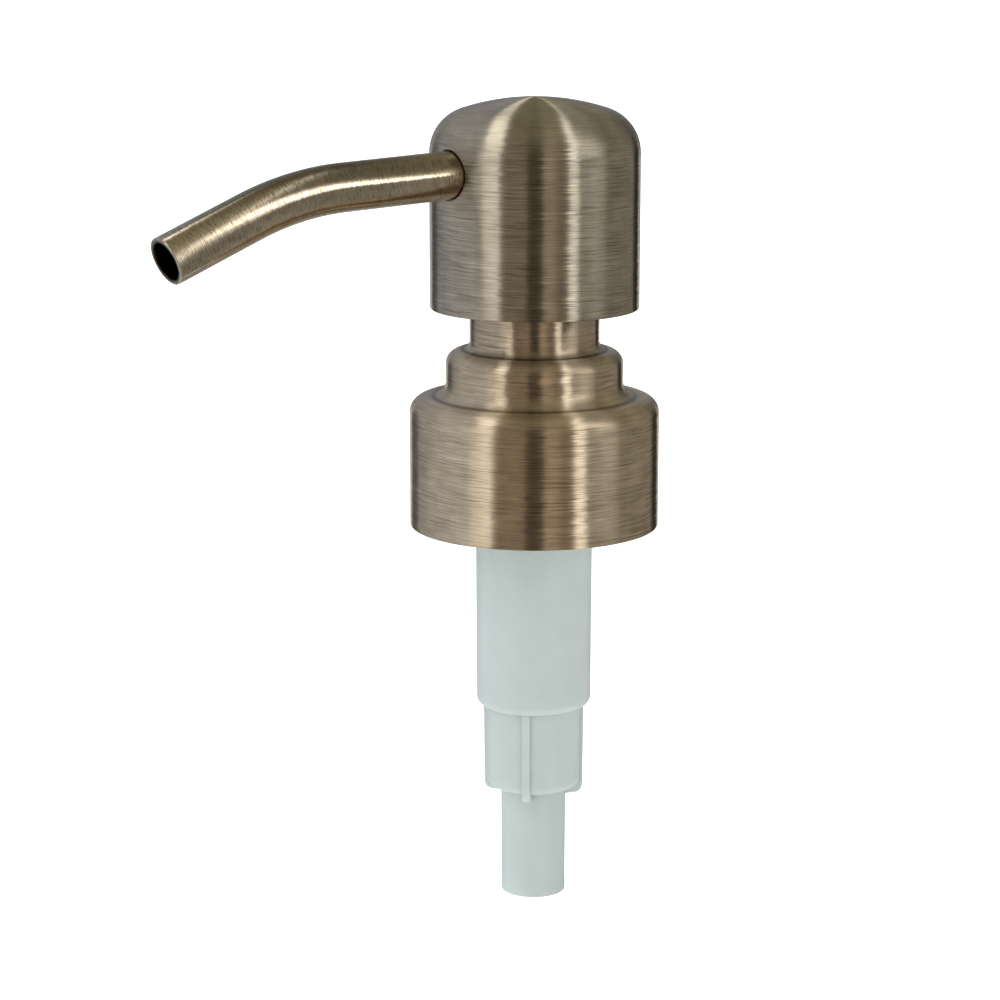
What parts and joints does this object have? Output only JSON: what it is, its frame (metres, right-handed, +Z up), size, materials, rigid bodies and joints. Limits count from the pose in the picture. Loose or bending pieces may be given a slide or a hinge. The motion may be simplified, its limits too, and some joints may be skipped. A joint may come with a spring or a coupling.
{
  "type": "soap pump dispenser",
  "caption": "Hand soap pump with a domed press head, a bent tube spout, a stepped screw collar and a piston pump body for a bottle neck.",
  "frame": {"origin": "on the pump's axis, in the plane where the gasket's underside rests on the bottle's mouth", "axes": "+Z up along the pump's axis, the spout points along -Y"},
  "size_m": [0.033, 0.0723, 0.1076],
  "materials": {
    "bronze_plate": "brushed antique brass plate, satin",
    "bronze_tube": "brushed antique brass plated tube, satin",
    "clear_pp": "natural translucent moulded polypropylene",
    "white_pp": "white moulded polypropylene",
    "seal_pe": "soft polyethylene foam, matt",
    "seal_rubber": "moulded rubber, matt",
    "piston_pe": "soft moulded polyethylene, slightly waxy",
    "pom": "moulded acetal, satin",
    "steel": "stainless spring steel, drawn",
    "ball_steel": "polished stainless steel"
  },
  "bodies": {
    "housing": {"housing": "clear_pp", "chaplet": "white_pp", "neck_gasket": "seal_pe", "stem_wiper": "seal_rubber", "ball_cage": "pom", "spring": "steel"},
    "collar": {"collar_shell": "bronze_plate", "closure_insert": "white_pp"},
    "carrier": {"stem_plug": "pom"},
    "head": {"stem": "pom", "head_core": "white_pp", "head_shell": "bronze_plate", "spout_tube": "bronze_tube", "spout_o_ring": "seal_rubber"},
    "piston": {"piston": "piston_pe"},
    "ball": {"check_ball": "ball_steel"}
  },
  "joints": [
    {"name": "collar_turn", "type": "hinge", "parent": "housing", "child": "collar", "pos_m": [0, 0, 0], "axis": [0, 0, 1], "continuous": true},
    {"name": "press", "type": "slide", "parent": "housing", "child": "carrier", "axis": [0, 0, 1], "range_m": [-0.011, 0], "stiffness_N_per_m": 600, "springref_m": 0.012, "deforming": ["spring"]},
    {"name": "spout_swivel", "type": "hinge", "parent": "carrier", "child": "head", "pos_m": [0, 0, 0.0356], "axis": [0, 0, 1], "continuous": true},
    {"name": "piston_slip", "type": "slide", "parent": "carrier", "child": "piston", "axis": [0, 0, 1], "range_m": [0, 0.0015]},
    {"name": "ball_lift", "type": "slide", "parent": "housing", "child": "ball", "axis": [0, 0, 1], "range_m": [0, 0.0015]}
  ]
}
